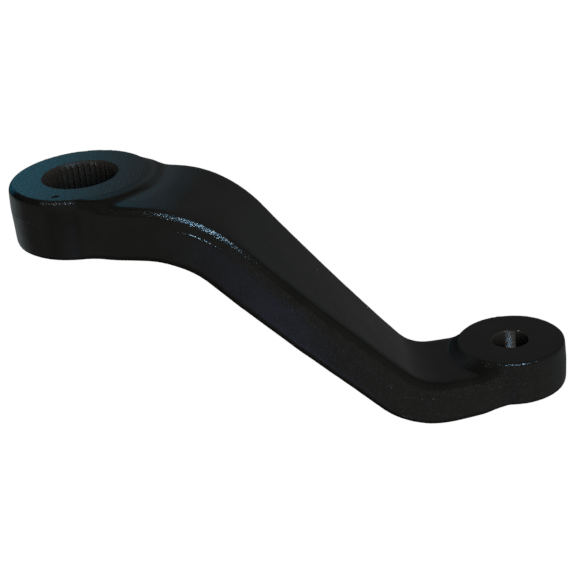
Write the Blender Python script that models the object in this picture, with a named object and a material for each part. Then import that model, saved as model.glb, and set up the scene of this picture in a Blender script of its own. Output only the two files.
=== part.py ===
"""Dropped pitman arm: one steel forging with a splined eye, a bent arm and a tapered-hole eye.

The frame: the splined bore's axis is Z, the big eye's upper machined face is z = 0, and the small
eye lies towards +X, level with the eye faces. All sizes are in metres.
"""

import math

import bmesh
import bpy
from mathutils import Matrix, Vector

MM = 0.001

# Where the two eyes sit
CENTRE_DISTANCE = 173.5 * MM  # level distance between the two bore axes
DROP = 84.0 * MM  # big eye's upper face down to the small eye's upper face
BOW = 16.4 * MM  # how far the arm swings aside, half-way between the axes

# Big eye, which grips the sector shaft
BIG_EYE_RADIUS = 30.0 * MM  # of the wall, where it would meet the upper face
BIG_EYE_HEIGHT = 26.0 * MM
BIG_EYE_PARTING = 10.0 * MM  # from the upper face down to the forging's parting line
BIG_EDGE_RADIUS = 2.2 * MM  # round the upper rim

# Small eye, which takes the ball stud
SMALL_EYE_RADIUS = 22.8 * MM
SMALL_EYE_HEIGHT = 19.7 * MM
SMALL_EYE_PARTING = 9.5 * MM
SMALL_EDGE_RADIUS = 0.9 * MM

LOWER_EDGE_RADIUS = 1.8 * MM  # round both eyes' lower rims
UPPER_DRAFT = math.radians(2.3)  # the forging's walls lean this much above the parting line
LOWER_DRAFT = math.radians(1.0)  # and this much below it
FLASH_LAND = 1.0 * MM  # flat band that trimming the flash left along the parting line

# Arm
BIG_SHOULDER = 2.3 * MM  # the arm's top lies this far below the big eye's face
SMALL_SHOULDER = 4.1 * MM
BIG_NECK_INSET = 3.5 * MM  # the arm's half-width where it leaves an eye is the eye's radius less this
SMALL_NECK_INSET = 1.9 * MM
THICKNESS_BIG = 23.9 * MM
THICKNESS_SMALL = 18.2 * MM
SECOND_BEND_SWELL = 0.6 * MM  # extra thickness in the middle of the second bend
SWELL_REACH = 12.0 * MM  # how far past the bend the swelling runs out
UPPER_CORNER_BIG = 4.5 * MM  # radius along the arm's upper long edges, at the big eye
UPPER_CORNER_SMALL = 3.5 * MM
LOWER_CORNER_BIG = 3.2 * MM
LOWER_CORNER_SMALL = 3.5 * MM
FIRST_BEND_FROM_BIG = 56.8 * MM  # axis to the corner of the first bend, measured level
SECOND_BEND_FROM_SMALL = 38.5 * MM
FIRST_BEND_RADIUS = 51.0 * MM  # on the arm's top
SECOND_BEND_RADIUS = 18.0 * MM

# Blends where the arm's top and underside run up to the eyes: an S in section, turned round the eye
BIG_BLEND_INSIDE = 0.0 * MM  # how far inside the eye's wall the S starts
BIG_BLEND_OUTSIDE = 6.5 * MM  # how far outside the wall it ends
SMALL_BLEND_INSIDE = 3.5 * MM
SMALL_BLEND_OUTSIDE = 5.0 * MM
BLEND_GAP = 0.2 * MM  # from an eye's face to the top of its blend
FADE_LENGTH = 24.0 * MM  # over which the sections turn from arcs round an eye to straight ones
CLOSEST_WRAP = 0.25  # a section's ends keep at least this share of its middle's distance from the axis
WALL_FILLET_RADIUS = 40.0 * MM  # seen from above, between an eye's wall and the arm's side walls

# Splined bore, a taper that narrows downwards
SPLINE_COUNT = 36
SPLINE_RADIUS = 15.4 * MM  # to the groove bottoms, at the upper face
SPLINE_DEPTH = 1.3 * MM
SPLINE_TAPER = 1 / 16  # on the diameter
TOOTH_TIP = 0.28  # the flat of a tooth's tip, as a share of the pitch
TOOTH_GROOVE = 0.28  # the flat of a groove's bottom
BORE_RIM_RADIUS = 16.0 * MM  # of the lead-in chamfer

# Stud hole, a taper that widens downwards
STUD_RADIUS = 7.6 * MM  # at the small eye's upper face
STUD_TAPER = 1 / 8  # on the diameter
STUD_EDGE_BREAK = 0.4 * MM

# Nick in the big eye's upper face
NICK_PLACE = (-4.6 * MM, -22.6 * MM)
NICK_SIZE = (1.9 * MM, 0.7 * MM, 0.45 * MM)  # half-length, half-width, depth
NICK_ANGLE = math.radians(12.0)

# How finely the surfaces are faceted
EYE_SEGMENTS = 72
CORNER_STEPS = 4
EDGE_STEPS = 3
NICK_SEGMENTS = 16
TOP_STRIPS = 10
BOTTOM_STRIPS = 4
BLEND_STEPS = 6
BEND_STEP = 3.0 * MM
SLOPE_STEP = 12.0 * MM
SECOND_BEND_STEPS = 10
CUTTER_REACH = 2.0 * MM  # how far a cutter stands out of the faces it cuts
WALL_MARGIN = 0.5 * MM  # from an eye's wall in to the first arc of its blend
HIDDEN_MARGIN = 2.5 * MM  # from the wall in to the last arc, which lies hidden in the eye
HALVINGS = 40  # steps of the search along the arm's line
SHARP_ANGLE = math.radians(35.0)  # edges sharper than this stay crisp when shaded

COLOUR = (0.012, 0.013, 0.013, 1.0)
ROUGHNESS = 0.42
METALLIC = 0.0


def clear_scene():
    """Start from an empty scene."""
    for thing in list(bpy.data.objects):
        bpy.data.objects.remove(thing, do_unlink=True)


def smooth_step(value):
    """Ease from 0 to 1 with level ends."""
    value = min(max(value, 0.0), 1.0)
    return value * value * (3 - 2 * value)


def mix(start, end, share):
    """Value a share of the way from start to end."""
    return start + (end - start) * share


# The arm's path


def slope_angle():
    """Downward angle of the slope between the two bends."""
    run = CENTRE_DISTANCE - FIRST_BEND_FROM_BIG - SECOND_BEND_FROM_SMALL
    fall = DROP + SMALL_SHOULDER - BIG_SHOULDER
    return math.atan2(fall, run)


def side_runs():
    """Lengths of the side view's pieces: level, bend, slope, bend, level."""
    angle = slope_angle()
    first_reach = FIRST_BEND_RADIUS * math.tan(angle / 2)
    second_reach = SECOND_BEND_RADIUS * math.tan(angle / 2)
    run = CENTRE_DISTANCE - FIRST_BEND_FROM_BIG - SECOND_BEND_FROM_SMALL
    return (
        FIRST_BEND_FROM_BIG - first_reach,
        FIRST_BEND_RADIUS * angle,
        run / math.cos(angle) - first_reach - second_reach,
        SECOND_BEND_RADIUS * angle,
        SECOND_BEND_FROM_SMALL - second_reach,
    )


def side_point(distance):
    """Point (x, z) and downward angle on the arm's top line, seen from the side."""
    level, first, slope, second, _ = side_runs()
    angle = slope_angle()
    x, z = 0.0, -BIG_SHOULDER
    if distance <= level:
        return x + distance, z, 0.0
    distance -= level
    x += level
    turned = min(distance / FIRST_BEND_RADIUS, angle)
    x += FIRST_BEND_RADIUS * math.sin(turned)
    z -= FIRST_BEND_RADIUS * (1 - math.cos(turned))
    if distance <= first:
        return x, z, turned
    distance -= first
    straight = min(distance, slope)
    x += straight * math.cos(angle)
    z -= straight * math.sin(angle)
    if distance <= slope:
        return x, z, angle
    distance -= slope
    left = max(angle - distance / SECOND_BEND_RADIUS, 0.0)
    x += SECOND_BEND_RADIUS * (math.sin(angle) - math.sin(left))
    z -= SECOND_BEND_RADIUS * (math.cos(left) - math.cos(angle))
    return x + max(distance - second, 0.0), z, left


def bow_at(x):
    """Sideways place of the centre line and its slope in plan: a shallow parabola."""
    share = x / CENTRE_DISTANCE
    return -4 * BOW * share * (1 - share), -4 * BOW * (1 - 2 * share) / CENTRE_DISTANCE


def arm_point(distance, offset, depth):
    """A point beside and below the top line, in the section at this distance along it."""
    x, z, angle = side_point(distance)
    y, sway = bow_at(x)
    along = Vector((math.cos(angle), sway * math.cos(angle), -math.sin(angle))).normalized()
    side = Vector((-sway, 1.0, 0.0)).normalized()
    up = along.cross(side)
    return Vector((x, y, z)) + side * offset - up * depth


def level_reach(distance, offset, eye):
    """Level distance of a top point from an eye's axis."""
    point = arm_point(distance, offset, 0.0)
    return math.hypot(point.x - eye.axis_x, point.y)


def distance_at_reach(reach, offset, eye):
    """Distance along the top line where a top point lies this far from an eye's axis."""
    low, high = 0.0, sum(side_runs())
    for _ in range(HALVINGS):
        middle = (low + high) / 2
        inside = level_reach(middle, offset, eye) < reach
        if inside == (eye is BIG_EYE):
            low = middle
        else:
            high = middle
    return (low + high) / 2


# How the arm meets the eyes


class Eye:
    """What the arm needs to know of one eye."""

    def __init__(self, axis_x, radius, height, shoulder, inside, outside):
        self.axis_x = axis_x
        self.height = height
        self.shoulder = shoulder
        self.wall = radius
        self.blend_start = radius - inside
        self.blend_end = radius + outside

    def half_width(self, reach, plain_width):
        """The arm's half-width on an arc round the eye, with the fillet between their walls."""
        if plain_width >= self.wall or reach < self.wall / 2:
            return plain_width
        across = plain_width + WALL_FILLET_RADIUS
        away = self.wall + WALL_FILLET_RADIUS
        along = math.sqrt(away**2 - across**2)
        if reach > math.hypot(along, plain_width):
            return plain_width
        outer = max(reach, self.wall)
        cosine = (outer**2 + away**2 - WALL_FILLET_RADIUS**2) / (2 * outer * away)
        angle = math.atan2(across, along) - math.acos(min(cosine, 1.0))
        return reach * math.sin(angle)

    def blend_share(self, reach):
        """1 in the eye and 0 past the blend's foot, at a level distance from the eye's axis."""
        return 1 - smooth_step((reach - self.blend_start) / (self.blend_end - self.blend_start))

    def arcs(self):
        """Distances from the axis of the arcs that shape the blend, one of them inside the eye."""
        start = self.wall - WALL_MARGIN
        steps = range(BLEND_STEPS + 1)
        shaped = [mix(start, self.blend_end, step / BLEND_STEPS) for step in steps]
        return [self.wall - HIDDEN_MARGIN] + shaped

    def arc_share(self, reach):
        """1 where a section follows an arc round the eye, 0 where it stands straight."""
        return 1 - smooth_step((reach - self.blend_end) / FADE_LENGTH)


BIG_EYE = Eye(0.0, BIG_EYE_RADIUS, BIG_EYE_HEIGHT, BIG_SHOULDER, BIG_BLEND_INSIDE, BIG_BLEND_OUTSIDE)
SMALL_EYE = Eye(
    CENTRE_DISTANCE,
    SMALL_EYE_RADIUS,
    SMALL_EYE_HEIGHT,
    SMALL_SHOULDER,
    SMALL_BLEND_INSIDE,
    SMALL_BLEND_OUTSIDE,
)


def nearer_eye(distance):
    """The eye that a section is nearer to, along the arm."""
    return BIG_EYE if distance < sum(side_runs()) / 2 else SMALL_EYE


# The arm's sections


def arm_share(x):
    """How far along the arm a place lies: 0 at the big eye's wall, 1 at the small eye's."""
    return (x - BIG_EYE_RADIUS) / (CENTRE_DISTANCE - BIG_EYE_RADIUS - SMALL_EYE_RADIUS)


def bend_swell(distance):
    """Extra thickness here, from the swelling in the second bend."""
    _, _, _, second, level = side_runs()
    middle = sum(side_runs()) - level - second / 2
    return SECOND_BEND_SWELL * (1 - smooth_step(abs(distance - middle) / (second / 2 + SWELL_REACH)))


def section_sizes(distance):
    """Half-width, thickness, parting depth and upper and lower corner radii of one section."""
    share = arm_share(side_point(distance)[0])
    inner = min(max(share, 0.0), 1.0)
    eye = nearer_eye(distance)
    plain_width = mix(BIG_EYE_RADIUS - BIG_NECK_INSET, SMALL_EYE_RADIUS - SMALL_NECK_INSET, share)
    return (
        eye.half_width(level_reach(distance, 0.0, eye), plain_width),
        mix(THICKNESS_BIG, THICKNESS_SMALL, inner) + bend_swell(distance),
        mix(BIG_EYE_PARTING - BIG_SHOULDER, SMALL_EYE_PARTING - SMALL_SHOULDER, inner),
        mix(UPPER_CORNER_BIG, UPPER_CORNER_SMALL, inner),
        mix(LOWER_CORNER_BIG, LOWER_CORNER_SMALL, inner),
    )


def corner_arc(edge, radius, draft):
    """A rounded corner as (offset, depth) points, from the flat to the drafted wall."""
    flat_reach = radius / math.tan((math.pi / 2 + draft) / 2)
    turns = [mix(math.pi / 2, draft, step / CORNER_STEPS) for step in range(CORNER_STEPS + 1)]
    return [(edge - flat_reach + radius * math.cos(a), radius * (1 - math.sin(a))) for a in turns]


def half_section(half_width, thickness, parting, upper_corner, lower_corner):
    """One side of a section as (offset, depth) points, from the top flat to the bottom flat."""
    half_land = FLASH_LAND / 2
    upper_edge = half_width - (parting - half_land) * math.tan(UPPER_DRAFT)
    lower_edge = half_width - (thickness - parting - half_land) * math.tan(LOWER_DRAFT)
    upper = corner_arc(upper_edge, upper_corner, UPPER_DRAFT)
    lower = corner_arc(lower_edge, lower_corner, LOWER_DRAFT)
    land = [(half_width, parting - half_land), (half_width, parting + half_land)]
    return upper + land + [(across, thickness - depth) for across, depth in reversed(lower)]


def full_section(distance):
    """A whole section as a closed loop of (offset, depth) points."""
    half_width, thickness, parting, upper_corner, lower_corner = section_sizes(distance)
    half = half_section(half_width, thickness, parting, upper_corner, lower_corner)
    top_flat = half[0][0]
    bottom_flat = half[-1][0]
    top = [(mix(-top_flat, top_flat, step / TOP_STRIPS), 0.0) for step in range(1, TOP_STRIPS)]
    steps = range(1, BOTTOM_STRIPS)
    bottom = [(mix(bottom_flat, -bottom_flat, step / BOTTOM_STRIPS), thickness) for step in steps]
    mirrored = [(-across, depth) for across, depth in reversed(half)]
    return top + half + bottom + mirrored


def spread(start, end, step):
    """Values from start to end, both left out, evenly spaced at about one step."""
    count = max(round((end - start) / step), 1)
    return [mix(start, end, index / count) for index in range(1, count)]


def station_distances():
    """Distances along the top line where a section stands."""
    level, first, slope, second, _ = side_runs()
    whole = sum(side_runs())
    first_end = level + first
    second_start = first_end + slope
    second_end = second_start + second
    near_big = [distance_at_reach(reach, 0.0, BIG_EYE) for reach in BIG_EYE.arcs()]
    near_small = [distance_at_reach(reach, 0.0, SMALL_EYE) for reach in reversed(SMALL_EYE.arcs())]
    bend_step = (second_end - second_start) / SECOND_BEND_STEPS
    return (
        [0.0]
        + near_big
        + spread(near_big[-1], first_end, BEND_STEP)
        + [first_end]
        + spread(first_end, second_start, SLOPE_STEP)
        + [second_start]
        + spread(second_start, second_end, bend_step)
        + [second_end]
        + spread(second_end, near_small[0], BEND_STEP)
        + near_small
        + [whole]
    )


def wrapped_distance(distance, offset, eye):
    """Distance along the top line where a section curved round the eye crosses this offset."""
    reach = level_reach(distance, 0.0, eye)
    share = eye.arc_share(reach)
    if share == 0 or reach < eye.wall / 2:
        return distance
    target = max(reach, math.hypot(CLOSEST_WRAP * reach, offset))
    return mix(distance, distance_at_reach(target, offset, eye), share)


def ring_points(distance):
    """One ring of the arm's skin, curved round the nearer eye and raised into its blend."""
    eye = nearer_eye(distance)
    _, thickness, parting, _, _ = section_sizes(distance)
    top_gap = eye.shoulder - BLEND_GAP
    bottom_gap = max(eye.shoulder + thickness - eye.height + BLEND_GAP, 0.0)
    points = []
    for offset, depth in full_section(distance):
        place = wrapped_distance(distance, offset, eye)
        point = arm_point(place, offset, depth)
        share = eye.blend_share(level_reach(place, offset, eye))
        if depth < parting:
            point.z += share * top_gap * (1 - depth / parting)
        else:
            point.z += share * bottom_gap * (depth - parting) / (thickness - parting)
        points.append(point)
    return points


# Solids


def new_object(name, mesh_builder):
    """Object from a bmesh, with its normals pointing out."""
    mesh = bpy.data.meshes.new(name)
    bmesh.ops.recalc_face_normals(mesh_builder, faces=mesh_builder.faces)
    mesh_builder.to_mesh(mesh)
    mesh_builder.free()
    thing = bpy.data.objects.new(name, mesh)
    bpy.context.scene.collection.objects.link(thing)
    return thing


def skin_rings(mesh_builder, rings):
    """Faces between successive closed rings, and a cap on each end."""
    loops = [[mesh_builder.verts.new(point) for point in ring] for ring in rings]
    for here, there in zip(loops, loops[1:]):
        for index in range(len(here)):
            following = (index + 1) % len(here)
            mesh_builder.faces.new((here[index], here[following], there[following], there[index]))
    mesh_builder.faces.new(loops[0])
    mesh_builder.faces.new(list(reversed(loops[-1])))


def make_arm(name):
    """The bent arm, lofted through its sections."""
    mesh_builder = bmesh.new()
    skin_rings(mesh_builder, [ring_points(distance) for distance in station_distances()])
    bmesh.ops.triangulate(mesh_builder, faces=mesh_builder.faces)
    return new_object(name, mesh_builder)


def ring(radius, height, count, turn=0.0):
    """Points of a level circle round Z."""
    angles = [turn + 2 * math.pi * index / count for index in range(count)]
    return [Vector((radius * math.cos(a), radius * math.sin(a), height)) for a in angles]


def eye_profile(radius, height, parting, edge_radius):
    """An eye's turned outline as (radius, depth) points, from the upper face to the lower."""
    half_land = FLASH_LAND / 2
    widest = radius + (parting - half_land) * math.tan(UPPER_DRAFT)
    lowest = widest - (height - parting - half_land) * math.tan(LOWER_DRAFT)
    turns = [math.pi / 2 * step / EDGE_STEPS for step in range(EDGE_STEPS + 1)]
    upper = [(radius - edge_radius * (1 - math.sin(a)), edge_radius * (1 - math.cos(a))) for a in turns]
    lower = [
        (lowest - LOWER_EDGE_RADIUS * (1 - math.cos(a)), height - LOWER_EDGE_RADIUS * (1 - math.sin(a)))
        for a in turns
    ]
    return upper + [(widest, parting - half_land), (widest, parting + half_land)] + lower


def make_eye(name, place, radius, height, parting, edge_radius):
    """A turned eye, solid until it is bored, with its upper face at its place."""
    mesh_builder = bmesh.new()
    profile = eye_profile(radius, height, parting, edge_radius)
    skin_rings(mesh_builder, [ring(across, -depth, EYE_SEGMENTS) for across, depth in profile])
    thing = new_object(name, mesh_builder)
    thing.location = place
    return thing


def spline_outline(radius, height):
    """The toothed outline of the bore: flat-bottomed grooves between flat-topped teeth."""
    points = []
    pitch = 2 * math.pi / SPLINE_COUNT
    groove = TOOTH_GROOVE / 2
    tip = (1 - TOOTH_TIP) / 2
    corners = ((-tip, SPLINE_DEPTH), (-groove, 0.0), (groove, 0.0), (tip, SPLINE_DEPTH))
    for index in range(SPLINE_COUNT):
        for share, depth in corners:
            angle = (index + share) * pitch
            across = radius - depth
            points.append(Vector((across * math.cos(angle), across * math.sin(angle), height)))
    return points


def make_spline_cutter(name):
    """Cutter for the splined bore, narrowing downwards."""
    top = CUTTER_REACH
    bottom = -BIG_EYE_HEIGHT - CUTTER_REACH
    mesh_builder = bmesh.new()
    radii = [SPLINE_RADIUS + height * SPLINE_TAPER / 2 for height in (top, bottom)]
    skin_rings(mesh_builder, [spline_outline(radii[0], top), spline_outline(radii[1], bottom)])
    return new_object(name, mesh_builder)


def make_cone_cutter(name, place, upper_radius, lower_radius, top, bottom):
    """Cutter that is a plain cone about a vertical axis."""
    mesh_builder = bmesh.new()
    bmesh.ops.create_cone(
        mesh_builder,
        cap_ends=True,
        segments=EYE_SEGMENTS,
        radius1=lower_radius,
        radius2=upper_radius,
        depth=top - bottom,
        matrix=Matrix.Translation((0, 0, (top + bottom) / 2)),
    )
    thing = new_object(name, mesh_builder)
    thing.location = place
    return thing


def make_chamfer_cutter(name, place, rim_radius, inner_radius):
    """Cutter for a 45 degree chamfer whose rim lies in the face at its place."""
    depth = rim_radius - inner_radius
    return make_cone_cutter(
        name, place, rim_radius + CUTTER_REACH, inner_radius - depth, CUTTER_REACH, -2 * depth
    )


def make_nick_cutter(name):
    """Cutter for the shallow nick: a stretched ball half sunk in the big eye's face."""
    mesh_builder = bmesh.new()
    rings = NICK_SEGMENTS // 2
    bmesh.ops.create_uvsphere(mesh_builder, u_segments=NICK_SEGMENTS, v_segments=rings, radius=1.0)
    bmesh.ops.scale(mesh_builder, vec=NICK_SIZE, verts=mesh_builder.verts)
    turn = Matrix.Rotation(NICK_ANGLE, 4, "Z")
    bmesh.ops.transform(mesh_builder, matrix=turn, verts=mesh_builder.verts)
    thing = new_object(name, mesh_builder)
    thing.location = (*NICK_PLACE, 0.0)
    return thing


def add_boolean(body, tool, operation):
    """Join a tool to the body, or cut it away, and hide the tool."""
    modifier = body.modifiers.new(tool.name, "BOOLEAN")
    modifier.operation = operation
    modifier.object = tool
    modifier.solver = "EXACT"
    tool.hide_render = True
    tool.display_type = "WIRE"


def black_paint():
    """Semi-gloss black paint over the whole forging."""
    material = bpy.data.materials.new("black_paint")
    material.use_nodes = True
    shader = material.node_tree.nodes["Principled BSDF"]
    shader.inputs["Base Color"].default_value = COLOUR
    shader.inputs["Roughness"].default_value = ROUGHNESS
    shader.inputs["Metallic"].default_value = METALLIC
    material.diffuse_color = COLOUR
    return material


def build():
    """The whole arm as one solid."""
    clear_scene()
    small_place = Vector((CENTRE_DISTANCE, 0.0, -DROP))
    arm = make_arm("pitman_arm")
    big_eye = make_eye(
        "big_eye_form", Vector(), BIG_EYE_RADIUS, BIG_EYE_HEIGHT, BIG_EYE_PARTING, BIG_EDGE_RADIUS
    )
    small_eye = make_eye(
        "small_eye_form",
        small_place,
        SMALL_EYE_RADIUS,
        SMALL_EYE_HEIGHT,
        SMALL_EYE_PARTING,
        SMALL_EDGE_RADIUS,
    )
    add_boolean(arm, big_eye, "UNION")
    add_boolean(arm, small_eye, "UNION")

    bore_chamfer = make_chamfer_cutter("bore_chamfer", Vector(), BORE_RIM_RADIUS, SPLINE_RADIUS)
    add_boolean(arm, bore_chamfer, "DIFFERENCE")
    add_boolean(arm, make_spline_cutter("splined_bore"), "DIFFERENCE")

    stud_widening = STUD_TAPER / 2
    stud_hole = make_cone_cutter(
        "stud_hole",
        small_place,
        STUD_RADIUS - CUTTER_REACH * stud_widening,
        STUD_RADIUS + (SMALL_EYE_HEIGHT + CUTTER_REACH) * stud_widening,
        CUTTER_REACH,
        -SMALL_EYE_HEIGHT - CUTTER_REACH,
    )
    stud_chamfer = make_chamfer_cutter(
        "stud_chamfer", small_place, STUD_RADIUS + STUD_EDGE_BREAK, STUD_RADIUS
    )
    add_boolean(arm, stud_chamfer, "DIFFERENCE")
    add_boolean(arm, stud_hole, "DIFFERENCE")
    add_boolean(arm, make_nick_cutter("face_nick"), "DIFFERENCE")

    arm.data.materials.append(black_paint())
    arm.data.shade_smooth()
    arm.data.set_sharp_from_angle(angle=SHARP_ANGLE)


build()
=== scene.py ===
# %% [markdown]
# # A dropped pitman arm
#
# A pitman arm is the lever under a steering box. Its big splined eye grips the sector shaft, its
# bent arm drops down and bows aside to clear the frame, and its small tapered eye takes the ball
# stud of the drag link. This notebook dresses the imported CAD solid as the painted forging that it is.
#
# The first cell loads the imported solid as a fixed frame. Everything here is in metres: the splined
# bore's axis is Z, the big eye's upper face is z = 0, and the small eye lies towards +X.

# %% Load the frame
import math

import bmesh
import bpy
from mathutils import Matrix, Vector, noise


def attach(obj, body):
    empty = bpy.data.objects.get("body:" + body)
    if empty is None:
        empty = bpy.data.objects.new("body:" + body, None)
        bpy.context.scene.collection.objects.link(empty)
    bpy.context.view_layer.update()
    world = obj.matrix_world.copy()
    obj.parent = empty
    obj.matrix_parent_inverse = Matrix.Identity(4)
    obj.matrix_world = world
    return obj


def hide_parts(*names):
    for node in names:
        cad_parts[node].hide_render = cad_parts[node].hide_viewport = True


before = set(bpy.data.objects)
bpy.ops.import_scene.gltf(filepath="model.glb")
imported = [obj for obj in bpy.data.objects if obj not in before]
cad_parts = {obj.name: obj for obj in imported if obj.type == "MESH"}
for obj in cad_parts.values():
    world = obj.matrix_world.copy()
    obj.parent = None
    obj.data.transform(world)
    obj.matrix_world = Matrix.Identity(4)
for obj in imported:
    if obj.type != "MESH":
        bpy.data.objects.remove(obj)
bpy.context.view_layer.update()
MM = 0.001

# %% [markdown]
# ## The sizes that the looks depend on
#
# A CAD file would share these with us, but a scene file that stands alone has to name them again.
# Only the places that get a special finish or a crisp cut are needed: the two eyes here, and further
# down the line that the arm's top follows in side view.

# %% Name the sizes
CENTRE_DISTANCE = 173.5 * MM
DROP = 84.0 * MM
BIG_EYE_RADIUS = 30.0 * MM
BIG_EYE_HEIGHT = 26.0 * MM
SMALL_EYE_RADIUS = 22.8 * MM
SMALL_EYE_HEIGHT = 19.7 * MM
SPLINE_COUNT = 36
SPLINE_RADIUS = 15.4 * MM
SPLINE_DEPTH = 1.3 * MM
SPLINE_NARROWING = 1 / 32
BORE_RIM_RADIUS = 16.0 * MM
STUD_RADIUS = 7.6 * MM
STUD_WIDENING = 1 / 16
STUD_EDGE_BREAK = 0.4 * MM
SMALL_EYE_PLACE = Vector((CENTRE_DISTANCE, 0.0, -DROP))
print("bore axes", CENTRE_DISTANCE / MM, "mm apart, drop", DROP / MM, "mm")

# %% [markdown]
# ## The camera
#
# The picture was taken from in front of the bowed side, a little to the small eye's side, looking
# down about 25 degrees, with the camera rolled 6 degrees. A long lens keeps the two eyes' ellipses
# nearly alike, so the lens matters as much as the place.

# %% Place the camera
CAMERA_PLACE = Vector((168.5, -585.8, 225.7)) * MM
CAMERA_AIM = Vector((82.0, -5.9, -52.7)) * MM
CAMERA_ROLL = math.radians(-6.0)
CAMERA_LENS = 97.65
SENSOR_WIDTH = 36.0
CAMERA_SHIFT = (-0.0009, 0.0009)

lens = bpy.data.cameras.new("portrait_camera")
lens.lens = CAMERA_LENS
lens.sensor_width = SENSOR_WIDTH
lens.shift_x, lens.shift_y = CAMERA_SHIFT
lens.clip_start = 0.01
lens.clip_end = 50.0
camera = bpy.data.objects.new("portrait_camera", lens)
camera.location = CAMERA_PLACE
aimed = (CAMERA_AIM - CAMERA_PLACE).to_track_quat("-Z", "Y").to_matrix()
camera.rotation_euler = (aimed @ Matrix.Rotation(CAMERA_ROLL, 3, "Z")).to_euler()
bpy.context.scene.collection.objects.link(camera)
bpy.context.scene.camera = camera
print("camera", round((CAMERA_AIM - CAMERA_PLACE).length / MM), "mm away")

# %% [markdown]
# ## Wiring
#
# The floor, the room and the paint are all node trees. Three small helpers serve all of them: one
# links two sockets, one finds a Mix node's colour socket, and one mixes two colours.

# %% Make the wiring helpers


def wire(tree, source, target):
    """Link one socket to another."""
    tree.links.new(source, target)


def colour_socket(sockets, name):
    """The colour socket of this name on a Mix node, which has one for each kind of value."""
    return next(socket for socket in sockets if socket.name == name and socket.type == "RGBA")


def mix_colours(tree, share, first, second, blend="MIX"):
    """Mix two colours, each a colour or a socket, by a share that is a socket."""
    node = tree.nodes.new("ShaderNodeMix")
    node.data_type = "RGBA"
    node.blend_type = blend
    wire(tree, share, node.inputs["Factor"])
    for name, value in (("A", first), ("B", second)):
        socket = colour_socket(node.inputs, name)
        if isinstance(value, tuple):
            socket.default_value = value
        else:
            wire(tree, value, socket)
    return colour_socket(node.outputs, "Result")


print("wiring helpers ready")

# %% [markdown]
# ## The studio
#
# The arm stands against pure white. A white floor does that by itself only where the lamps reach it
# evenly, so the floor also glows for the rays that come from the camera or from a reflection. It
# still takes the lamps' light, so the object's shadow stays on it. It is a round sheet of paper just
# larger than the arm, because black paint mirrors its floor: a wide white floor would wash out the
# sides, which in the picture stay nearly as dark as the bores.

# %% Lay the floor
FLOOR_HEIGHT = -550.0 * MM
FLOOR_REACH = 200.0 * MM
FLOOR_SIDES = 128
PAPER_COLOUR = (0.8, 0.8, 0.8, 1.0)
WHITE = (1.0, 1.0, 1.0, 1.0)


def background_rays(tree):
    """1 for the rays that show the background: from the camera, a reflection or through glass."""
    path = tree.nodes.new("ShaderNodeLightPath")
    shown = path.outputs["Is Camera Ray"]
    for kind in ("Is Glossy Ray", "Is Transmission Ray"):
        either = tree.nodes.new("ShaderNodeMath")
        either.operation = "MAXIMUM"
        wire(tree, shown, either.inputs[0])
        wire(tree, path.outputs[kind], either.inputs[1])
        shown = either.outputs[0]
    return shown


floor_paper = bpy.data.materials.new("floor_paper")
floor_paper.use_nodes = True
paper_tree = floor_paper.node_tree
paper = paper_tree.nodes["Principled BSDF"]
paper.inputs["Base Color"].default_value = PAPER_COLOUR
paper.inputs["Roughness"].default_value = 0.9
paper.inputs["Specular IOR Level"].default_value = 0.0
paper.inputs["Emission Color"].default_value = WHITE
wire(paper_tree, background_rays(paper_tree), paper.inputs["Emission Strength"])

floor_builder = bmesh.new()
bmesh.ops.create_circle(floor_builder, cap_ends=True, segments=FLOOR_SIDES, radius=FLOOR_REACH)
floor_place = (CENTRE_DISTANCE / 2, 0, FLOOR_HEIGHT)
bmesh.ops.translate(floor_builder, vec=floor_place, verts=floor_builder.verts)
floor_mesh = bpy.data.meshes.new("floor")
floor_builder.to_mesh(floor_mesh)
floor_builder.free()
floor = bpy.data.objects.new("floor", floor_mesh)
floor.data.materials.append(floor_paper)
bpy.context.scene.collection.objects.link(floor)
print("floor at", FLOOR_HEIGHT / MM, "mm")

# %% [markdown]
# ## The lamps
#
# Black paint shows its lamps more than its colour. Three broad lamps, overhead, in front and low
# behind, give the plain level. They are soft enough to leave no mirror image, so reflections skip
# them. Three strips do the opposite: they show in reflections and on no matt surface. On the right a
# narrow white tube in a wider blue one draws the line of sparks along the rounded corner of the bend
# and on the small eye's rim, and a weak one on the left lights a few sparks on the big eye's rim.

# %% Hang the lamps
LAMP_AIM = (0.08, 0.0, -0.05)
RIGHT_PLACE = (0.30, -0.31, 0.58)
RIGHT_AIM = (0.1, -0.02, -0.03)
LEFT_PLACE = (-0.34, -0.24, 0.58)
LEFT_AIM = (0.02, -0.02, 0.0)
WARM_TINT = (1.0, 0.96, 0.90)
COOL_TINT = (0.86, 0.96, 1.0)
SKY_TINT = (0.16, 0.50, 0.80)
PLAIN_TINT = (1.0, 1.0, 1.0)
BROAD_LAMPS = (
    # name, place, aim, width, depth, watts, tint
    ("overhead", (0.1, 0.3, 1.4), LAMP_AIM, 1.6, 1.2, 14.0, PLAIN_TINT),
    ("front_fill", (0.7, -1.2, 0.1), LAMP_AIM, 1.4, 1.0, 42.0, WARM_TINT),
    ("back_fill", (0.1, 1.2, -0.7), LAMP_AIM, 1.4, 1.0, 45.0, PLAIN_TINT),
)
STRIPS = (
    ("right_strip", RIGHT_PLACE, RIGHT_AIM, 0.30, 0.024, 2.9, COOL_TINT),
    ("sky_strip", RIGHT_PLACE, RIGHT_AIM, 0.36, 0.15, 6.6, SKY_TINT),
    ("left_strip", LEFT_PLACE, LEFT_AIM, 0.14, 0.05, 0.6, PLAIN_TINT),
)


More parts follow.
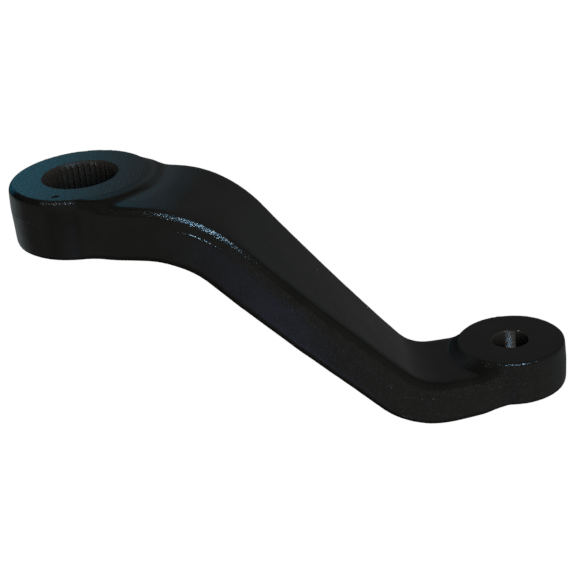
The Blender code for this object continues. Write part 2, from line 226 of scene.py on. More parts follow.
def area_lamp(name, place, aim, width, depth, power, tint):
    """A rectangular lamp at a place, turned to its aim, its width along X."""
    data = bpy.data.lights.new(name, "AREA")
    data.shape = "RECTANGLE"
    data.size = width
    data.size_y = depth
    data.energy = power
    data.color = tint
    lamp = bpy.data.objects.new(name, data)
    lamp.location = place
    lamp.rotation_euler = (Vector(aim) - Vector(place)).to_track_quat("-Z", "Y").to_euler()
    bpy.context.scene.collection.objects.link(lamp)
    return lamp


for row in BROAD_LAMPS:
    broad = area_lamp(*row)
    broad.visible_glossy = False
    broad.visible_camera = False
for row in STRIPS:
    area_lamp(*row).visible_diffuse = False
print("lamps:", [row[0] for row in BROAD_LAMPS + STRIPS])

# %% [markdown]
# ## The room's light
#
# The world is the rest of the room. The camera sees it as white, like the floor. For every other ray
# it is a dim room with four soft glows: a bluish window low behind the big eye, which tints the level
# faces there, a pale door further left, which lights the edge of the big eye's wall, a blue gleam
# from the ground in front, which tints the lower half of the slope's wall, and a wide faint one on
# the right, which lifts the slope's top.

# %% Set the world
ROOM_COLOUR = (0.080, 0.081, 0.079, 1.0)
GLOWS = (
    # azimuth and elevation in degrees, inner and outer reach in degrees, colour
    (117.0, 13.0, 7.0, 14.0, (0.00, 0.14, 0.20, 1.0)),
    (140.0, -20.0, 12.0, 30.0, (0.13, 0.16, 0.165, 1.0)),
    (258.0, -35.0, 4.0, 13.0, (0.10, 0.13, 0.36, 1.0)),
    (26.0, 3.0, 15.0, 45.0, (0.012, 0.040, 0.035, 1.0)),
)

world = bpy.data.worlds.new("room")
world.use_nodes = True
room = world.node_tree
towards = room.nodes.new("ShaderNodeTexCoord").outputs["Generated"]


def glow_share(azimuth, elevation, inner, outer):
    """1 inside a soft round patch of the room's wall and 0 outside it."""
    turn, rise = math.radians(azimuth), math.radians(elevation)
    facing = room.nodes.new("ShaderNodeVectorMath")
    facing.operation = "DOT_PRODUCT"
    facing.inputs[1].default_value = (
        math.cos(rise) * math.cos(turn),
        math.cos(rise) * math.sin(turn),
        math.sin(rise),
    )
    wire(room, towards, facing.inputs[0])
    edge = room.nodes.new("ShaderNodeMapRange")
    edge.interpolation_type = "SMOOTHSTEP"
    edge.inputs["From Min"].default_value = math.cos(math.radians(outer))
    edge.inputs["From Max"].default_value = math.cos(math.radians(inner))
    wire(room, facing.outputs["Value"], edge.inputs["Value"])
    return edge.outputs["Result"]


room_tint = ROOM_COLOUR
for azimuth, elevation, inner, outer, glow_colour in GLOWS:
    share = glow_share(azimuth, elevation, inner, outer)
    room_tint = mix_colours(room, share, room_tint, glow_colour, "ADD")

dim = room.nodes.new("ShaderNodeBackground")
wire(room, room_tint, dim.inputs["Color"])
backdrop = room.nodes["Background"]
backdrop.inputs["Color"].default_value = WHITE
room_mix = room.nodes.new("ShaderNodeMixShader")
room_path = room.nodes.new("ShaderNodeLightPath")
wire(room, room_path.outputs["Is Camera Ray"], room_mix.inputs["Fac"])
wire(room, dim.outputs["Background"], room_mix.inputs[1])
wire(room, backdrop.outputs["Background"], room_mix.inputs[2])
wire(room, room_mix.outputs["Shader"], room.nodes["World Output"].inputs["Surface"])
bpy.context.scene.world = world
bpy.context.scene.view_settings.view_transform = "Standard"
# The paint's sparks are one or two pixels wide, and a denoiser takes them for noise
bpy.context.scene.cycles.use_denoising = False
bpy.context.scene.cycles.use_adaptive_sampling = False
print("glows in the room:", len(GLOWS))

# %% [markdown]
# ## The forged blank
#
# A forging is never sharp: dies wear, scale lifts and the black paint fills every corner. A copy of
# the CAD solid has the right form but hard facets. Bevels on each edge would be slow and would miss
# the places where the eyes melt into the arm. So the copy's bores are plugged, it is remeshed into
# even small quads, and those are smoothed a little. Plugs that overlap the body simply fuse in the
# remesh.

# %% Plug and remesh a copy
GRAIN = 0.72 * MM  # side of the remeshed quads
SEAM = 0.001 * MM  # points of the CAD copy this close are one point
PLUG_OVERLAP = 0.8 * MM


def turned_stock(builder, place, upper_radius, lower_radius, top, bottom, segments=96):
    """A closed cone or cylinder about a vertical axis, added to a bmesh."""
    made = bmesh.ops.create_cone(
        builder,
        cap_ends=True,
        segments=segments,
        radius1=lower_radius,
        radius2=upper_radius,
        depth=top - bottom,
        matrix=Matrix.Translation(place + Vector((0, 0, (top + bottom) / 2))),
    )
    return made["verts"]


def object_from(builder, name):
    """A linked object that takes over a bmesh."""
    mesh = bpy.data.meshes.new(name)
    builder.to_mesh(mesh)
    builder.free()
    thing = bpy.data.objects.new(name, mesh)
    bpy.context.scene.collection.objects.link(thing)
    return thing


def with_modifiers_applied(thing):
    """The mesh of an object as its modifiers leave it."""
    graph = bpy.context.evaluated_depsgraph_get()
    return bpy.data.meshes.new_from_object(thing.evaluated_get(graph))


blank_builder = bmesh.new()
blank_builder.from_mesh(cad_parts["pitman_arm"].data)
bmesh.ops.remove_doubles(blank_builder, verts=blank_builder.verts, dist=SEAM)
plug_radius = BORE_RIM_RADIUS + PLUG_OVERLAP
turned_stock(blank_builder, Vector(), plug_radius, plug_radius, 0.0, -BIG_EYE_HEIGHT)
stud_foot = STUD_RADIUS + SMALL_EYE_HEIGHT * STUD_WIDENING + PLUG_OVERLAP
turned_stock(blank_builder, SMALL_EYE_PLACE, stud_foot, stud_foot, 0.0, -SMALL_EYE_HEIGHT)
blank = object_from(blank_builder, "blank")
remesh = blank.modifiers.new("grain", "REMESH")
remesh.mode = "VOXEL"
remesh.voxel_size = GRAIN
remesh.use_smooth_shade = True
blank_mesh = with_modifiers_applied(blank)
bpy.data.objects.remove(blank)
print("blank:", len(blank_mesh.polygons), "quads")

# %% [markdown]
# ## Smoothing
#
# A few rounds of smoothing turn the facets and the creases beside the eyes into soft metal. The blend
# from the big eye's face to the arm's top gets a few more, because it is the softest in the picture.

# %% Smooth the blank
SMOOTHING_ROUNDS = 5
BLEND_ROUNDS = 4
BLEND_START = 12.0 * MM  # x from which the blend counts
BLEND_DEPTH = 8.0 * MM
BLEND_INNER_RADIUS = 28.5 * MM
BLEND_OUTER_RADIUS = 46.0 * MM


def smooth(builder, verts, rounds):
    """Move points half-way to the middle of their neighbours, some rounds over."""
    for _ in range(rounds):
        bmesh.ops.smooth_vert(
            builder, verts=verts, factor=0.5, use_axis_x=True, use_axis_y=True, use_axis_z=True
        )


def beside_big_face(vert):
    """Whether a point lies in the blend that leads from the big eye's face to the arm's top."""
    away = math.hypot(vert.co.x, vert.co.y)
    in_ring = BLEND_INNER_RADIUS < away < BLEND_OUTER_RADIUS
    return in_ring and vert.co.x > BLEND_START and vert.co.z > -BLEND_DEPTH


skin = bmesh.new()
skin.from_mesh(blank_mesh)
smooth(skin, skin.verts, SMOOTHING_ROUNDS)
blend_verts = [vert for vert in skin.verts if beside_big_face(vert)]
smooth(skin, blend_verts, BLEND_ROUNDS)
print("points in the blend:", len(blend_verts))

# %% [markdown]
# ## Facing
#
# The four eye faces are faced flat again, as a lathe would do: every point near such a plane is laid
# exactly on it. The circle that is faced stops short of the eye's edge, which stays rounded.

# %% Face the eyes
FACING_REACH = 0.35 * MM
EDGE_WIDTH = 2.0 * MM
SMALL_UPPER_EDGE_WIDTH = 1.0 * MM
EYE_FACES = (
    # axis, radius that is faced, height
    (Vector(), BIG_EYE_RADIUS - EDGE_WIDTH, 0.0),
    (Vector(), BIG_EYE_RADIUS - EDGE_WIDTH, -BIG_EYE_HEIGHT),
    (SMALL_EYE_PLACE, SMALL_EYE_RADIUS - SMALL_UPPER_EDGE_WIDTH, -DROP),
    (SMALL_EYE_PLACE, SMALL_EYE_RADIUS - EDGE_WIDTH, -DROP - SMALL_EYE_HEIGHT),
)


def lay_flat(builder, place, radius, height):
    """Put the points near a level round face exactly in its plane, and count them."""
    laid = 0
    for vert in builder.verts:
        away = math.hypot(vert.co.x - place.x, vert.co.y - place.y)
        if away < radius and abs(vert.co.z - height) < FACING_REACH:
            vert.co.z = height
            laid += 1
    return laid


faced = sum(lay_flat(skin, *face) for face in EYE_FACES)
print("points laid on the machined faces:", faced)

# %% [markdown]
# ## Forged unevenness
#
# Hot steel leaves the die slightly wavy. Each point moves a few hundredths of a millimetre along its
# normal by two sizes of noise, except on the faces that were machined afterwards.

# %% Give the skin its waves
WAVE_LENGTH = 11.0 * MM
WAVE_HEIGHT = 0.10 * MM
DIMPLE_LENGTH = 3.0 * MM
DIMPLE_HEIGHT = 0.035 * MM
FLATNESS = 0.0001 * MM


def on_machined_face(vert):
    """Whether a point lies in one of the four eye faces."""
    return any(abs(vert.co.z - height) < FLATNESS for _, _, height in EYE_FACES)


skin.normal_update()
moves = []
for vert in skin.verts:
    wave = noise.noise(vert.co / WAVE_LENGTH) * WAVE_HEIGHT
    dimple = noise.noise(vert.co / DIMPLE_LENGTH) * DIMPLE_HEIGHT
    moves.append(0.0 if on_machined_face(vert) else wave + dimple)
for vert, move in zip(list(skin.verts), moves):
    vert.co += vert.normal * move
forging = object_from(skin, "forging")
print("skin waves up to", round(max(moves) / MM, 3), "mm")

# %% [markdown]
# ## The splined bore
#
# The bore's teeth are broached on a taper. A cone with eight sides for each tooth is a good start:
# moving its points in and out by one repeated tooth outline gives all 36 teeth at once, and a
# Boolean cuts them with crisp edges.

# %% Make the bore's cutters
TOOTH_SIDES = 8
CUT_REACH = 2.0 * MM
TOOTH_OUTLINE = (0.0, 0.12, 0.62, 1.0, 1.0, 1.0, 0.62, 0.12)  # groove bottom to tip and back

bore_sides = SPLINE_COUNT * TOOTH_SIDES
cutter_builder = bmesh.new()
spline_verts = turned_stock(
    cutter_builder,
    Vector(),
    SPLINE_RADIUS + CUT_REACH * SPLINE_NARROWING,
    SPLINE_RADIUS - (BIG_EYE_HEIGHT + CUT_REACH) * SPLINE_NARROWING,
    CUT_REACH,
    -BIG_EYE_HEIGHT - CUT_REACH,
    bore_sides,
)
for vert in spline_verts:
    angle = math.atan2(vert.co.y, vert.co.x)
    side = round(angle / (2 * math.pi) * bore_sides) % TOOTH_SIDES
    across = math.hypot(vert.co.x, vert.co.y)
    shrink = (across - TOOTH_OUTLINE[side] * SPLINE_DEPTH) / across
    vert.co.x *= shrink
    vert.co.y *= shrink
spline_cutter = object_from(cutter_builder, "spline_cutter")


def chamfer_cutter(name, place, rim_radius, inner_radius):
    """A 45 degree countersink whose rim lies in the face at its place."""
    depth = rim_radius - inner_radius
    builder = bmesh.new()
    turned_stock(builder, place, rim_radius + CUT_REACH, inner_radius - depth, CUT_REACH, -2 * depth)
    return object_from(builder, name)


tip_radius = SPLINE_RADIUS - SPLINE_DEPTH
rim_foot = (BORE_RIM_RADIUS + tip_radius) / 2
rim_cutter = chamfer_cutter("rim_cutter", Vector(), BORE_RIM_RADIUS, rim_foot)
print("teeth:", SPLINE_COUNT, "cutter points:", len(spline_cutter.data.vertices))

# %% [markdown]
# ## The stud hole and the nick
#
# The small hole is a plain reamed taper, wider underneath, with its edge just broken. The nick is a
# small tool mark in the big face, cut with a stretched ball.

# %% Make the other cutters
NICK_PLACE = Vector((-4.8 * MM, -23.3 * MM, 0.0))
NICK_SIZE = (1.7 * MM, 0.95 * MM, 0.6 * MM)
NICK_ANGLE = math.radians(25.0)

hole_builder = bmesh.new()
turned_stock(
    hole_builder,
    SMALL_EYE_PLACE,
    STUD_RADIUS - CUT_REACH * STUD_WIDENING,
    STUD_RADIUS + (SMALL_EYE_HEIGHT + CUT_REACH) * STUD_WIDENING,
    CUT_REACH,
    -SMALL_EYE_HEIGHT - CUT_REACH,
)
hole_cutter = object_from(hole_builder, "hole_cutter")
break_radius = STUD_RADIUS + STUD_EDGE_BREAK
break_cutter = chamfer_cutter("break_cutter", SMALL_EYE_PLACE, break_radius, STUD_RADIUS)

nick_builder = bmesh.new()
bmesh.ops.create_uvsphere(nick_builder, u_segments=24, v_segments=12, radius=1.0)
bmesh.ops.scale(nick_builder, vec=NICK_SIZE, verts=nick_builder.verts)
nick_turn = Matrix.Translation(NICK_PLACE) @ Matrix.Rotation(NICK_ANGLE, 4, "Z")
bmesh.ops.transform(nick_builder, matrix=nick_turn, verts=nick_builder.verts)
nick_cutter = object_from(nick_builder, "nick_cutter")
print("cutters ready")

# %% [markdown]
# ## Cutting
#
# Each cutter is a Boolean difference with the exact solver. The result is read back as one mesh and
# the cutters are thrown away, so the finished piece has no live modifiers.

# %% Cut the bores
cutters = [rim_cutter, spline_cutter, break_cutter, hole_cutter, nick_cutter]
for cutter in cutters:
    cut = forging.modifiers.new(cutter.name, "BOOLEAN")
    cut.operation = "DIFFERENCE"
    cut.object = cutter
    cut.solver = "EXACT"
forging_mesh = with_modifiers_applied(forging)
forging.modifiers.clear()
forging.data = forging_mesh
for cutter in cutters:
    bpy.data.objects.remove(cutter)
forging_mesh.name = "forging"
print("cut forging:", len(forging_mesh.polygons), "faces")

# %% [markdown]
# ## Cleaning the cuts
#
# Where a cutter's side grazes a point of the skin, the solver leaves slivers thinner than a hundredth
# of a millimetre. Points that close are merged and what folds flat is dissolved. Faces with more than
# four corners become triangles in between. The cell counts the edges that still lack exactly two
# faces: a few are left at the lower mouth of the splined bore.

# %% Clean the cuts
SLIVER = 0.01 * MM
QUAD_CORNERS = 4

cleaner = bmesh.new()
cleaner.from_mesh(forging_mesh)
bmesh.ops.remove_doubles(cleaner, verts=cleaner.verts, dist=SLIVER)
bmesh.ops.dissolve_degenerate(cleaner, dist=SLIVER, edges=cleaner.edges)
many_sided = [face for face in cleaner.faces if len(face.verts) > QUAD_CORNERS]
bmesh.ops.triangulate(cleaner, faces=many_sided)
bmesh.ops.dissolve_degenerate(cleaner, dist=SLIVER, edges=cleaner.edges)
odd_edges = sum(1 for edge in cleaner.edges if not edge.is_manifold)
cleaner.to_mesh(forging_mesh)
cleaner.free()
print("forging:", len(forging_mesh.polygons), "faces,", odd_edges, "edges without two faces")

# %% [markdown]
# ## The arm's top line
#
# Two dies meet along a line half-way down the side. The flash was trimmed there and left a low
# ridge. A bump in the paint is enough for it, but it must follow the bent arm, so the arm's top in
# side view comes first: level, a wide bend, a slope, a tight bend, and level again.

# %% Describe the top line
FIRST_BEND_FROM_BIG = 56.8 * MM
SECOND_BEND_FROM_SMALL = 38.5 * MM
FIRST_BEND_RADIUS = 51.0 * MM
SECOND_BEND_RADIUS = 18.0 * MM
BIG_SHOULDER = 2.3 * MM
SMALL_SHOULDER = 4.1 * MM
GRADE_STEP = 0.5 * MM

second_bend = CENTRE_DISTANCE - SECOND_BEND_FROM_SMALL
slope_fall = DROP + SMALL_SHOULDER - BIG_SHOULDER
slope = math.atan2(slope_fall, second_bend - FIRST_BEND_FROM_BIG)


def rounded_corner(x, corner_x, radius, tilt):
    """How far a rounded corner leaves its sharp one, with a level line on one side of it."""
    reach = radius * math.tan(slope / 2)
    along = (x - corner_x) * tilt
    if along <= -reach:
        return 0.0
    if along < reach * math.cos(slope):
        return radius - math.sqrt(max(radius**2 - (along + reach) ** 2, 0.0))
    return along * math.tan(slope)


def top_line(x):
    """Height of the arm's top in side view."""
    if x < (FIRST_BEND_FROM_BIG + second_bend) / 2:
        return -BIG_SHOULDER - rounded_corner(x, FIRST_BEND_FROM_BIG, FIRST_BEND_RADIUS, 1)
    return -DROP - SMALL_SHOULDER + rounded_corner(x, second_bend, SECOND_BEND_RADIUS, -1)


def top_grade(x):
    """Slope of the arm's top in side view."""
    return (top_line(x + GRADE_STEP) - top_line(x - GRADE_STEP)) / (2 * GRADE_STEP)


print("the arm's top slopes", round(math.degrees(slope), 1), "degrees between its bends")

# %% [markdown]
# ## The parting line
#
# Every point stores how far below the parting line it lies, and the material reads it back. The
# points also store how far they face the arm's own upward side, which tells tops, rounded corners
# and walls apart.

# %% Measure the parting line
BIG_PARTING = 10.0 * MM
SMALL_PARTING = 9.5 * MM


def parting_depth(point):
    """Signed distance of a point below the parting line, measured square to the arm."""
    share = (point.x - BIG_EYE_RADIUS) / (CENTRE_DISTANCE - 2 * BIG_EYE_RADIUS)
    share = min(max(share, 0.0), 1.0)
    depth = (BIG_PARTING - BIG_SHOULDER) * (1 - share) + (SMALL_PARTING - SMALL_SHOULDER) * share
    lean = math.cos(math.atan(top_grade(point.x)))
    return (top_line(point.x) - point.z) * lean - depth


def facing_up(point, normal):
    """1 where the skin lies along the arm's top, 0 on its side walls, -1 on its underside."""
    return normal.dot(Vector((-top_grade(point.x), 0.0, 1.0)).normalized())


def store_values(name, values):
    """Keep one number for each point of the forging, for the material to read."""
    stored = forging_mesh.attributes.new(name, "FLOAT", "POINT")
    stored.data.foreach_set("value", values)
    print(name, "runs from", round(min(values), 4), "to", round(max(values), 4))


store_values("parting_depth", [parting_depth(vert.co) for vert in forging_mesh.vertices])
store_values("facing_up", [facing_up(vert.co, vert.normal) for vert in forging_mesh.vertices])

# %% [markdown]
# ## Black paint on forged steel
#
# The paint is thin and semi-gloss. On the rounded corners its orange peel breaks the strips into
# sparks, and on the flatter faces it is calmer. The big eye's machined face is the odd one out: a
# bluish reflection is painted on it, mottled and stronger away from the arm. The bores are dark cut
# steel.
# Everything reads object coordinates or the stored values, so nothing slides when the camera moves.

# %% Start the paint
PAINT_COLOUR = (0.0040, 0.0041, 0.0040, 1.0)
DRIFT_COLOUR = (0.0050, 0.0053, 0.0051, 1.0)
FLECK_COLOUR = (0.0062, 0.0066, 0.0072, 1.0)
PAINTED_SHEEN_COLOUR = (0.0115, 0.0135, 0.0145, 1.0)
PAINTED_REFLECTION_COLOUR = (0.007, 0.060, 0.092, 1.0)
BORE_COLOUR = (0.016, 0.0155, 0.015, 1.0)
NICK_PAINTED_SHADE = (0.0005, 0.0005, 0.0005, 1.0)

black_paint = bpy.data.materials.new("black_paint")
black_paint.use_nodes = True
tree = black_paint.node_tree
shader = tree.nodes["Principled BSDF"]
shader.inputs["Metallic"].default_value = 0.0
coordinates = tree.nodes.new("ShaderNodeTexCoord").outputs["Object"]
axes = tree.nodes.new("ShaderNodeSeparateXYZ")
wire(tree, coordinates, axes.inputs["Vector"])
place_x, place_y, place_z = (axes.outputs[axis] for axis in "XYZ")
print("paint started")

# %% [markdown]
# ### Sums with nodes
#
# Each mask below is a product or the greatest of a few soft steps from 0 to 1. These helpers keep
# the sums short. Every value in them is a number or a node's socket.

# %% Make the paint's helpers


def math_node(operation, first, second=0.0):
    """A Math node on one or two values."""
    node = tree.nodes.new("ShaderNodeMath")
    node.operation = operation
    for socket, value in zip(node.inputs, (first, second)):
        if isinstance(value, (int, float)):
            socket.default_value = value
        else:
            wire(tree, value, socket)
    return node.outputs[0]


def joined(operation, values):
    """Math nodes over two or more values, from left to right."""
    result = values[0]
    for value in values[1:]:
        result = math_node(operation, result, value)
    return result


def times(*values):
    """The product of some values."""
    return joined("MULTIPLY", values)


def greatest(*values):
    """The greatest of some values."""
    return joined("MAXIMUM", values)


def other_than(share):
    """1 where a share is 0, and 0 where it is 1."""
    return math_node("SUBTRACT", 1.0, share)


def ramp(value, low, high, start=0.0, end=1.0):
    """Ease a value from start to end as it goes from low to high."""
    node = tree.nodes.new("ShaderNodeMapRange")
    node.interpolation_type = "SMOOTHSTEP"
    wire(tree, value, node.inputs["Value"])
    node.inputs["From Min"].default_value = low
    node.inputs["From Max"].default_value = high
    node.inputs["To Min"].default_value = start
    node.inputs["To Max"].default_value = end
    return node.outputs["Result"]


def ramp_mm(value, step, start=0.0, end=1.0, origin=0.0):
    """The same over a step whose two ends are given in millimetres from an origin."""
    low, high = step
    return ramp(value, origin + low * MM, origin + high * MM, start, end)


def speckle(length, detail):
    """Noise whose features are about this long."""
    node = tree.nodes.new("ShaderNodeTexNoise")
    node.inputs["Scale"].default_value = 1.0 / length
    node.inputs["Detail"].default_value = detail
    wire(tree, coordinates, node.inputs["Vector"])
    return node.outputs["Fac"]


def stored_value(name):
    """A number that each point of the forging carries."""
    node = tree.nodes.new("ShaderNodeAttribute")
    node.attribute_name = name
    return node.outputs["Fac"]


def distance_from_axis(axis_x, axis_y=0.0):
    """Level distance of the shaded point from a vertical axis."""
    across = math_node("SUBTRACT", place_x, axis_x)
    along = math_node("SUBTRACT", place_y, axis_y)
    squares = math_node("ADD", times(across, across), times(along, along))
    return math_node("SQRT", squares)


print("paint helpers ready")

# %% [markdown]
# ### Where the machined face is
#
# Only the big eye's face and what touches it come within a quarter of a millimetre of z = 0, so the
# height alone finds it. Distance from an axis finds the bores, and the nick is what lies below the
# face close to its own place. Steepness is 0 along the arm's top and 1 on a wall.

# %% Mask the machined face and the bores
BIG_FACE_Z = (-0.25, -0.05)
BORE_RIM_SOFTNESS = (0.0, 0.1)
STUD_HOLE_RADIUS = (9.0, 9.1)
STUD_HOLE_Z = (-0.06, -0.02)
SMALL_SHOULDER_Z = (-2.0, -1.2)
NICK_RADIUS = (2.2, 2.3)

upness = stored_value("facing_up")
steep = other_than(math_node("ABSOLUTE", upness))
from_shaft = distance_from_axis(0.0)
from_stud = distance_from_axis(CENTRE_DISTANCE)
big_face = ramp_mm(place_z, BIG_FACE_Z)
shaft_bore = ramp_mm(from_shaft, BORE_RIM_SOFTNESS, 1.0, 0.0, BORE_RIM_RADIUS)
near_stud = ramp_mm(from_stud, STUD_HOLE_RADIUS, 1.0, 0.0)
stud_bore = times(near_stud, ramp_mm(place_z, STUD_HOLE_Z, 1.0, 0.0, -DROP))
bores = greatest(shaft_bore, stud_bore)
near_nick = ramp_mm(distance_from_axis(NICK_PLACE.x, NICK_PLACE.y), NICK_RADIUS, 1.0, 0.0)
in_nick = times(near_nick, other_than(big_face))
above_shoulder = ramp_mm(place_z, SMALL_SHOULDER_Z, origin=-DROP)
print("masks ready")

# %% [markdown]
# ### The painted blue reflection
#
# The blue reflection painted here is strongest away from the arm and fades to the paint's grey on the
# shoulder. A fine mottle breaks it up. It lies on level skin and, at the far left, also over the
# rounded rim.

# %% Paint the blue reflection
REFLECTION_PER_HEIGHT = 7.0  # a point this much lower counts as that much nearer to the far left
REFLECTION_FADE = (-40.0, 36.0)
REFLECTION_REST = 0.03
REFLECTION_Z = (-4.6, -2.4)
MOTTLE_LENGTH = 1.2 * MM
MOTTLE_NOISE = (0.33, 0.62)
MOTTLE_RANGE = (0.5, 1.15)
FAR_LEFT_X = (-24.0, -18.0)
FAR_LEFT_Y = (-18.0, -12.0)
RIM_STEEPNESS = (0.35, 0.65)
LEVEL_STEEPNESS = (0.01, 0.05)

reflection_reach = math_node("ADD", place_x, times(place_z, REFLECTION_PER_HEIGHT))
far_left = times(ramp_mm(place_x, FAR_LEFT_X, 1.0, 0.0), ramp_mm(place_y, FAR_LEFT_Y))
reflection_on_rim = times(far_left, ramp(steep, *RIM_STEEPNESS, 1.0, 0.0))
reflection_on_level = ramp(steep, *LEVEL_STEEPNESS, 1.0, 0.0)
# Painted reflection: the bluish light that the level faces mirror, painted into their colour
painted_reflection = times(
    ramp_mm(reflection_reach, REFLECTION_FADE, 1.0, REFLECTION_REST),
    ramp(speckle(MOTTLE_LENGTH, 3.0), *MOTTLE_NOISE, *MOTTLE_RANGE),
    greatest(reflection_on_level, reflection_on_rim),
    ramp_mm(place_z, REFLECTION_Z),
)
print("film laid")

# %% [markdown]
# ### The colour
#
# The paint's black drifts a little over the whole arm. The lower walls are flecked where the scale
# under the paint shows, and the blends beside both eyes carry a slightly paler painted sheen.

# %% Colour the surface
DRIFT_LENGTH = 14.0 * MM
MIDDLE_NOISE = (0.3, 0.7)
FLECK_LENGTH = 0.8 * MM
FLECK_NOISE = (0.50, 0.62)
FLECK_X = (52.0, 84.0)
WALL_STEEPNESS = (0.5, 0.8)
SHEEN_FAR_Y = (-20.0, -8.0)
SHEEN_NEAR_RADIUS = (33.0, 35.5)
SHEEN_INNER_RADIUS = (28.0, 31.0)
SHEEN_OUTER_RADIUS = (37.0, 44.0)
SHEEN_X = (10.0, 18.0)
SHEEN_Y = (-28.0, -24.0)
SMALL_SHEEN_RADIUS = (32.0, 36.0)
SMALL_SHEEN_SHARE = 0.8
SMALL_SHEEN_Y = (-20.0, -14.0)
SMALL_SHEEN_X = (158.0, 164.0)
TILT_STEEPNESS = (0.02, 0.08)

paint_drift = ramp(speckle(DRIFT_LENGTH, 2.0), *MIDDLE_NOISE)
fleck = times(
    ramp(speckle(FLECK_LENGTH, 1.0), *FLECK_NOISE),
    ramp(steep, *WALL_STEEPNESS),
    ramp_mm(place_x, FLECK_X),
)
# Painted sheen: a paler tone on the blend beside the big eye, for the light that it catches
big_painted_sheen = times(
    greatest(ramp_mm(place_y, SHEEN_FAR_Y), ramp_mm(from_shaft, SHEEN_NEAR_RADIUS)),
    ramp_mm(from_shaft, SHEEN_INNER_RADIUS),
    ramp_mm(from_shaft, SHEEN_OUTER_RADIUS, 1.0, 0.0),
    ramp_mm(place_x, SHEEN_X),
    ramp_mm(place_y, SHEEN_Y),
)
# Painted sheen on the tilted blend beside the small eye
small_painted_sheen = times(
    ramp_mm(from_stud, SMALL_SHEEN_RADIUS, SMALL_SHEEN_SHARE, 0.0),
    ramp(steep, *TILT_STEEPNESS),
    ramp_mm(place_y, SMALL_SHEEN_Y),
    ramp_mm(place_x, SMALL_SHEEN_X, 1.0, 0.0),
)
colour = mix_colours(tree, paint_drift, PAINT_COLOUR, DRIFT_COLOUR)
colour = mix_colours(tree, fleck, colour, FLECK_COLOUR)
# The painted sheen lightens the paint's colour on both blends
colour = mix_colours(tree, greatest(big_painted_sheen, small_painted_sheen), colour, PAINTED_SHEEN_COLOUR)
# The painted blue reflection goes over the paint's colour
colour = mix_colours(tree, painted_reflection, colour, PAINTED_REFLECTION_COLOUR)
colour = mix_colours(tree, bores, colour, BORE_COLOUR)
# Painted shade: the nick's hollow is coloured nearly black
colour = mix_colours(tree, in_nick, colour, NICK_PAINTED_SHADE)
wire(tree, colour, shader.inputs["Base Color"])
print("colour set")

# %% [markdown]
# ### Where the shine is kept
#
# The picture has sparks at the big eye's rim, along the bend and at the small eye's rim. Shine is
# kept there. The other rounded corners, the underside, the nick and the hollow beside the big eye
# are calm, so no stray sparks appear there.

# %% Mask the shine
CORNER_STEEPNESS = (0.6, 0.85)
BIG_RIM_MIDDLE = 3.5 * MM  # how far the middle of the rim's sparks lies left of the shaft's axis
BIG_RIM_REACH = (5.0, 8.0)
BEND_START_X = (14.0, 24.0)
BEND_START_SHARE = 0.1
BEND_RISE_X = (30.0, 46.0)
BEND_RISE_SHARE = 0.07
BEND_END_X = (56.0, 80.0)
SMALL_RIM_X = (160.0, 166.0)
SMALL_RIM_SHARE = 0.45
UNDERSIDE_UPNESS = (-0.25, -0.08)
HOLLOW_PLACE = (-2.0 * MM, -32.0 * MM)
HOLLOW_RADIUS = (5.0, 10.0)
HOLLOW_SHARE = 0.5
HOLLOW_Z = (-5.0, -3.0)

rounded = times(
    ramp(steep, *TILT_STEEPNESS),
    ramp(steep, *CORNER_STEEPNESS, 1.0, 0.0),
    other_than(big_face),
)
from_big_rim = math_node("ABSOLUTE", math_node("ADD", place_x, BIG_RIM_MIDDLE))
big_rim_shine = ramp_mm(from_big_rim, BIG_RIM_REACH, 1.0, 0.0)
bend_shine = times(
    ramp_mm(place_x, BEND_RISE_X, BEND_RISE_SHARE, 1.0),
    ramp_mm(place_x, BEND_START_X, BEND_START_SHARE, 1.0),
    ramp_mm(place_x, BEND_END_X, 1.0, 0.0),
)
small_rim_shine = times(ramp_mm(place_x, SMALL_RIM_X, 0.0, SMALL_RIM_SHARE), above_shoulder)
no_sparks = other_than(greatest(bend_shine, big_rim_shine, small_rim_shine))
underside = ramp(upness, *UNDERSIDE_UPNESS, 1.0, 0.0)
in_hollow = times(
    ramp_mm(distance_from_axis(*HOLLOW_PLACE), HOLLOW_RADIUS, HOLLOW_SHARE, 0.0),
    ramp_mm(place_z, HOLLOW_Z, 1.0, 0.0),
)
calm = greatest(times(rounded, no_sparks), underside, in_hollow, in_nick)
print("shine masked")

# %% [markdown]
# ### The gloss
#
# The roughness drifts a little. The mouth and the depths of the splined bore and the nick are dull:
# rougher, and with little of the shader's shine.

# %% Set the gloss
GLOSS_LENGTH = 5.0 * MM
GLOSS_RANGE = (0.12, 0.18)
BORE_MOUTH_RADIUS = (15.2, 15.4)
BORE_DEPTHS_Z = (-3.2, -1.6)
BORE_DEPTHS_SHARE = 0.8
DULL_ROUGHNESS = 0.5
DULL_LOSS = 0.84
FULL_SHINE = 0.5

bore_mouth = times(shaft_bore, ramp_mm(from_shaft, BORE_MOUTH_RADIUS))
bore_depths = times(shaft_bore, ramp_mm(place_z, BORE_DEPTHS_Z, BORE_DEPTHS_SHARE, 0.0))
dull = greatest(bore_mouth, bore_depths, in_nick)
gloss = ramp(speckle(GLOSS_LENGTH, 3.0), *MIDDLE_NOISE, *GLOSS_RANGE)
gloss = math_node("ADD", gloss, times(dull, DULL_ROUGHNESS))
shine = times(other_than(greatest(times(dull, DULL_LOSS), calm)), FULL_SHINE)
wire(tree, shine, shader.inputs["Specular IOR Level"])
wire(tree, gloss, shader.inputs["Roughness"])
print("gloss set")

# %% [markdown]
# ### Relief of the skin
#
# The reliefs are made in metres: the orange peel of paint over scale, strong on the rounded corners,
# weaker on walls, on the slope and underneath, and nearly absent on level faces; and the trimmed
# ridge along the parting line, highest at the bend and broken up by noise.

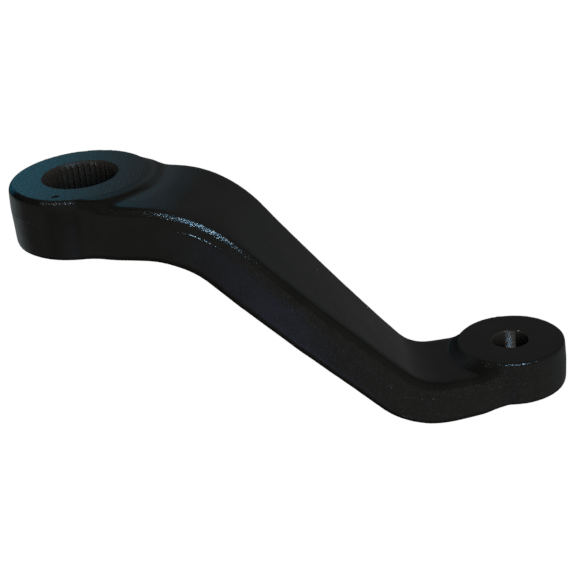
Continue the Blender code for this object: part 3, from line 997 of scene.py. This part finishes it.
# %% Raise the skin
PEEL_LENGTH = 0.75 * MM
PEEL_STEEPNESS = (0.04, 0.22)
PEEL_HEIGHT = (0.02 * MM, 0.36 * MM)
PEEL_WALL_STEEPNESS = (0.5, 0.85)
PEEL_ON_WALL = 0.35
PEEL_UPNESS = (-0.3, -0.05)
PEEL_UNDERNEATH = 0.2
SLOPE_START_X = (68.0, 86.0)
SLOPE_END_X = (148.0, 156.0)
SLOPE_END_RANGE = (0.8, 0.7)
PEEL_LOSS_ON_SLOPE = 0.6
RIDGE_MIDDLE_X = 56.0 * MM
RIDGE_REACH = (5.0, 14.0)
RIDGE_HEIGHT = (0.33 * MM, 0.12 * MM)
RIDGE_HALF_WIDTH = (0.05, 0.6)
RIDGE_LENGTH = 1.4 * MM
RIDGE_NOISE = (0.38, 0.54)
RIDGE_LOW = 0.15

on_slope = times(
    ramp_mm(place_x, SLOPE_START_X), ramp_mm(place_x, SLOPE_END_X, *SLOPE_END_RANGE)
)
peel = times(
    speckle(PEEL_LENGTH, 2.0),
    ramp(steep, *PEEL_STEEPNESS, *PEEL_HEIGHT),
    ramp(steep, *PEEL_WALL_STEEPNESS, 1.0, PEEL_ON_WALL),
    ramp(upness, *PEEL_UPNESS, PEEL_UNDERNEATH, 1.0),
    other_than(times(on_slope, PEEL_LOSS_ON_SLOPE)),
)
from_parting = math_node("ABSOLUTE", stored_value("parting_depth"))
from_bend = math_node("ABSOLUTE", math_node("SUBTRACT", place_x, RIDGE_MIDDLE_X))
ridge = times(
    ramp_mm(from_parting, RIDGE_HALF_WIDTH, 1.0, 0.0),
    ramp_mm(from_bend, RIDGE_REACH, *RIDGE_HEIGHT),
    ramp(speckle(RIDGE_LENGTH, 1.0), *RIDGE_NOISE, RIDGE_LOW, 1.0),
    ramp(steep, *WALL_STEEPNESS),
)
skin_relief = times(math_node("ADD", peel, ridge), other_than(greatest(big_face, bores)))
print("skin relief ready")

# %% [markdown]
# ### Relief of the cuts
#
# The machined face has a ripple, and the stud hole has the reamer's rings, deepest on the far and
# near walls, where the picture has its bright line. A fine grain lies everywhere but in that hole.
# All reliefs are added up and go through one Bump node.

# %% Raise the cuts and finish the relief
GRAIN_LENGTH = 0.5 * MM
GRAIN_HEIGHT = 0.02 * MM
RIPPLE_LENGTH = 1.1 * MM
RIPPLE_HEIGHT = 0.2 * MM
RING_PITCH = 0.6 * MM
RING_MIDDLE_X = CENTRE_DISTANCE - 0.3 * MM
RING_REACH = (1.2, 3.0)
RING_HEIGHT = (0.10 * MM, 0.01 * MM)

grain = times(speckle(GRAIN_LENGTH, 1.0), GRAIN_HEIGHT, other_than(stud_bore))
face_ripple = times(speckle(RIPPLE_LENGTH, 1.0), RIPPLE_HEIGHT, big_face)
ring_wave = math_node("SINE", times(place_z, 2 * math.pi / RING_PITCH))
from_rings = math_node("ABSOLUTE", math_node("SUBTRACT", place_x, RING_MIDDLE_X))
rings = times(ring_wave, ramp_mm(from_rings, RING_REACH, *RING_HEIGHT), stud_bore)
fine_relief = math_node("ADD", face_ripple, rings)
relief = math_node("ADD", math_node("ADD", skin_relief, grain), fine_relief)
bump = tree.nodes.new("ShaderNodeBump")
bump.inputs["Strength"].default_value = 1.0
bump.inputs["Distance"].default_value = 1.0
wire(tree, relief, bump.inputs["Height"])
wire(tree, bump.outputs["Normal"], shader.inputs["Normal"])
forging_mesh.materials.clear()
forging_mesh.materials.append(black_paint)
print("relief set, nodes in the paint:", len(tree.nodes))

# %% [markdown]
# ## Shading and handing over
#
# The skin is shaded smooth and only the cut edges stay sharp. The piece then stands for the CAD
# solid, rides on its body and takes the record's paint slot.

# %% Finish the piece
SHARP_ANGLE = math.radians(38)

forging_mesh.shade_smooth()
forging_mesh.set_sharp_from_angle(angle=SHARP_ANGLE)
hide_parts("pitman_arm")
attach(forging, "root")
